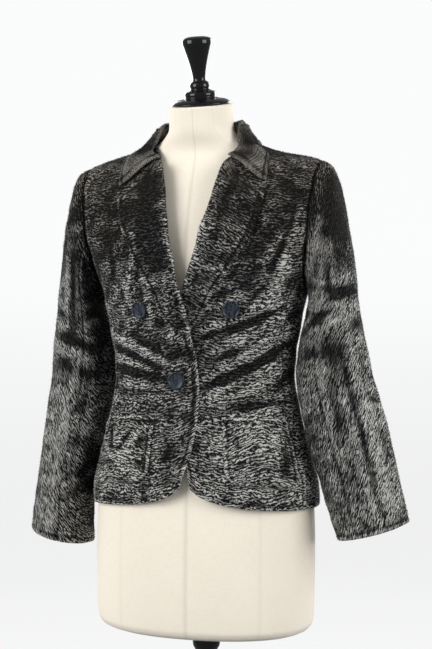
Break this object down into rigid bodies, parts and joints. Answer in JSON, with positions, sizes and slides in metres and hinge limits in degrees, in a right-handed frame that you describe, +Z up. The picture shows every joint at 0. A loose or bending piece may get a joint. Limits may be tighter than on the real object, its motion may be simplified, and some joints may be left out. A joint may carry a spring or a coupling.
{
  "type": "blazer on a limbless dress form",
  "caption": "Short cropped-pile blazer with notched lapels and patch pockets, worn by a limbless canvas dress form on a turned pole and a round foot.",
  "frame": {"origin": "on the underside of the round foot, below the middle of the jacket's body", "axes": "+Z up, -Y the way that the jacket's front faces, +X the wearer's left"},
  "size_m": [0.634, 0.4, 1.5999],
  "materials": {
    "pile_cloth": "crimped cropped pile, near-black ground with silver-grey tips",
    "button_shell": "polished slate blue-grey with a pearly streak",
    "canvas": "unbleached plain-weave canvas, stretched smooth",
    "lacquer": "turned wood in gloss black lacquer"
  },
  "bodies": {
    "root": {"front_right": "pile_cloth", "front_left": "pile_cloth", "side_right": "pile_cloth", "side_left": "pile_cloth", "back_right": "pile_cloth", "back_left": "pile_cloth", "sleeve_right_upper": "pile_cloth", "sleeve_right_under": "pile_cloth", "sleeve_left_upper": "pile_cloth", "sleeve_left_under": "pile_cloth", "collar_fall": "pile_cloth", "collar_stand": "pile_cloth", "lapel_right": "pile_cloth", "lapel_left": "pile_cloth", "pocket_right": "pile_cloth", "pocket_left": "pile_cloth", "button_bust_right": "button_shell", "button_bust_left": "button_shell", "button_waist": "button_shell", "form_body": "canvas", "neck_cap": "lacquer", "pole": "lacquer", "foot": "lacquer"}
  },
  "joints": []
}
